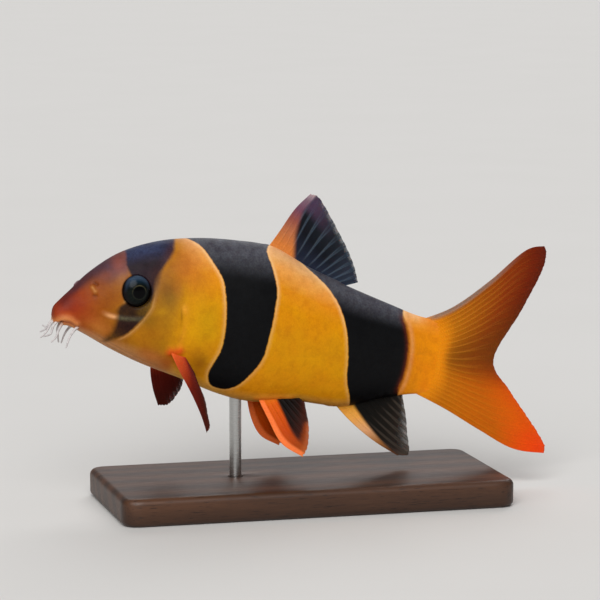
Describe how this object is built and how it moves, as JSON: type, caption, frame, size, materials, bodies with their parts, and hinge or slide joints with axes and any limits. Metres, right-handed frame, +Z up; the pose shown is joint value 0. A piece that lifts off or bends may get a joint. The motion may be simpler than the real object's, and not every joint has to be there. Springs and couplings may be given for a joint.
{
  "type": "clown loach model",
  "caption": "Still life-size clown loach, head a little up as it swims, with spread fins and whiskers, held over a flat block by one short rod.",
  "frame": {"origin": "middle of the underside of the stand's base, which rests on the floor", "axes": "+Z up; the fish looks along -X with its tail towards +X; +Y is the fish's right side"},
  "size_m": [0.1346, 0.046, 0.0776],
  "materials": {
    "head_skin": "wet skin, golden with a mauve brow and a red snout",
    "banded_skin": "wet skin, amber with broad black bands",
    "eye": "polished, dark blue iris round a black pupil",
    "dark_fin": "thin rayed membrane, blue-black with an orange front edge",
    "orange_fin": "thin rayed membrane, orange",
    "red_fin": "thin rayed membrane, orange-red",
    "barbel_skin": "smooth pale skin",
    "dark_wood": "oiled dark hardwood",
    "brushed_steel": "brushed"
  },
  "bodies": {
    "root": {"head": "head_skin", "gill_cover_left": "head_skin", "gill_cover_right": "head_skin", "trunk": "banded_skin", "tail_stalk": "banded_skin", "eye_left": "eye", "eye_right": "eye", "dorsal_fin": "dark_fin", "anal_fin": "dark_fin", "caudal_fin": "orange_fin", "pectoral_fin_left": "red_fin", "pectoral_fin_right": "red_fin", "pelvic_fin_left": "red_fin", "pelvic_fin_right": "red_fin", "barbel_rostral_inner_left": "barbel_skin", "barbel_rostral_inner_right": "barbel_skin", "barbel_rostral_outer_left": "barbel_skin", "barbel_rostral_outer_right": "barbel_skin", "barbel_maxillary_left": "barbel_skin", "barbel_maxillary_right": "barbel_skin", "barbel_mandibular_left": "barbel_skin", "barbel_mandibular_right": "barbel_skin", "stand_base": "dark_wood", "stand_rod": "brushed_steel"}
  },
  "joints": []
}
